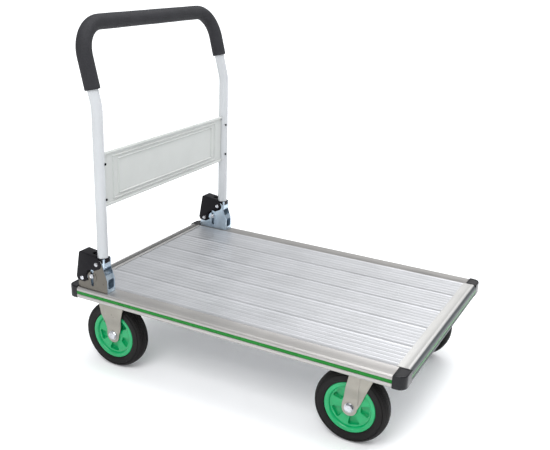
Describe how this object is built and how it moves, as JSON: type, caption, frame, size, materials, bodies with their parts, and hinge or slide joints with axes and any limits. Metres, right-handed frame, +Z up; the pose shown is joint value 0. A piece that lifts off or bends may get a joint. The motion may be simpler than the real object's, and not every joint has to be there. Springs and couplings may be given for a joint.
{
  "type": "folding platform cart",
  "caption": "Flat aluminium platform cart on fixed and swivel casters, with a loop handle that folds down over the deck.",
  "frame": {"origin": "on the floor, under the centre of the deck", "axes": "+X along the deck away from the handle, +Y across it to the left, +Z up"},
  "size_m": [0.91, 0.61, 0.8989],
  "materials": {
    "deck_aluminium": "brushed, extruded",
    "green_stripe": "smooth",
    "black_plastic": "fine texture",
    "white_paint": "satin powder coat",
    "grip_foam": "matte foam",
    "grey_paint": "satin powder coat",
    "zinc_plate": "bright zinc plated",
    "black_paint": "semi gloss",
    "bright_steel": "zinc plated",
    "fork_steel": "dull silver grey",
    "green_rim": "moulded, semi gloss",
    "tyre_rubber": "ribbed rubber",
    "bush_nylon": "natural nylon"
  },
  "bodies": {
    "platform": {"deck_plank_1": "deck_aluminium", "deck_plank_2": "deck_aluminium", "deck_plank_3": "deck_aluminium", "deck_plank_4": "deck_aluminium", "deck_plank_5": "deck_aluminium", "side_rail_right": "deck_aluminium", "side_rail_left": "deck_aluminium", "end_rail_rear": "deck_aluminium", "end_rail_front": "deck_aluminium", "side_stripe_right": "green_stripe", "side_stripe_left": "green_stripe", "end_stripe_rear": "green_stripe", "end_stripe_front": "green_stripe", "corner_cap_rear_right": "black_plastic", "corner_cap_rear_left": "black_plastic", "corner_cap_front_right": "black_plastic", "corner_cap_front_left": "black_plastic", "hinge_bracket_right": "zinc_plate", "hinge_bracket_left": "zinc_plate", "lock_spring_right": "bright_steel", "lock_spring_left": "bright_steel", "fixed_fork_right": "fork_steel", "fixed_fork_left": "fork_steel", "axle_bolt_rear_right": "bright_steel", "axle_bolt_rear_left": "bright_steel", "swivel_plate_right": "fork_steel", "swivel_plate_left": "fork_steel"},
    "handle": {"handle_tube": "white_paint", "foam_grip": "grip_foam", "back_panel": "grey_paint", "panel_screw_lower_right": "bright_steel", "panel_screw_lower_left": "bright_steel", "panel_screw_upper_right": "bright_steel", "panel_screw_upper_left": "bright_steel", "folding_foot_right": "black_paint", "tube_socket_right": "zinc_plate", "pivot_pin_right": "bright_steel", "stop_pin_right": "bright_steel", "folding_foot_left": "black_paint", "tube_socket_left": "zinc_plate", "pivot_pin_left": "bright_steel", "stop_pin_left": "bright_steel"},
    "lock_right": {"lock_pin_right": "bright_steel"},
    "lock_left": {"lock_pin_left": "bright_steel"},
    "swivel_right": {"swivel_fork_right": "fork_steel", "axle_bolt_front_right": "bright_steel"},
    "swivel_left": {"swivel_fork_left": "fork_steel", "axle_bolt_front_left": "bright_steel"},
    "wheel_rear_right": {"tyre_rear_right": "tyre_rubber", "wheel_rim_rear_right": "green_rim", "wheel_bush_rear_right": "bush_nylon"},
    "wheel_rear_left": {"tyre_rear_left": "tyre_rubber", "wheel_rim_rear_left": "green_rim", "wheel_bush_rear_left": "bush_nylon"},
    "wheel_front_right": {"tyre_front_right": "tyre_rubber", "wheel_rim_front_right": "green_rim", "wheel_bush_front_right": "bush_nylon"},
    "wheel_front_left": {"tyre_front_left": "tyre_rubber", "wheel_rim_front_left": "green_rim", "wheel_bush_front_left": "bush_nylon"}
  },
  "joints": [
    {"name": "handle_fold", "type": "hinge", "parent": "platform", "child": "handle", "pos_m": [-0.362, 0, 0.3], "axis": [0, 1, 0], "range_deg": [0, 90]},
    {"name": "lock_slide_right", "type": "slide", "parent": "platform", "child": "lock_right", "axis": [0, 0, 1], "range_m": [-0.02, 0], "stiffness_N_per_m": 300, "springref_m": 0.012, "deforming": ["lock_spring_right"]},
    {"name": "lock_slide_left", "type": "slide", "parent": "platform", "child": "lock_left", "axis": [0, 0, 1], "range_m": [-0.02, 0], "stiffness_N_per_m": 300, "springref_m": 0.012, "deforming": ["lock_spring_left"]},
    {"name": "swivel_turn_right", "type": "hinge", "parent": "platform", "child": "swivel_right", "pos_m": [0.3477, -0.241, 0.19], "axis": [0, 0, 1], "continuous": true},
    {"name": "swivel_turn_left", "type": "hinge", "parent": "platform", "child": "swivel_left", "pos_m": [0.3477, 0.241, 0.19], "axis": [0, 0, 1], "continuous": true},
    {"name": "wheel_spin_rear_right", "type": "hinge", "parent": "platform", "child": "wheel_rear_right", "pos_m": [-0.3506, -0.241, 0.09], "axis": [0, 1, 0], "continuous": true},
    {"name": "wheel_spin_rear_left", "type": "hinge", "parent": "platform", "child": "wheel_rear_left", "pos_m": [-0.3506, 0.241, 0.09], "axis": [0, 1, 0], "continuous": true},
    {"name": "wheel_spin_front_right", "type": "hinge", "parent": "swivel_right", "child": "wheel_front_right", "pos_m": [0.3177, -0.241, 0.09], "axis": [0, 1, 0], "continuous": true},
    {"name": "wheel_spin_front_left", "type": "hinge", "parent": "swivel_left", "child": "wheel_front_left", "pos_m": [0.3177, 0.241, 0.09], "axis": [0, 1, 0], "continuous": true}
  ]
}
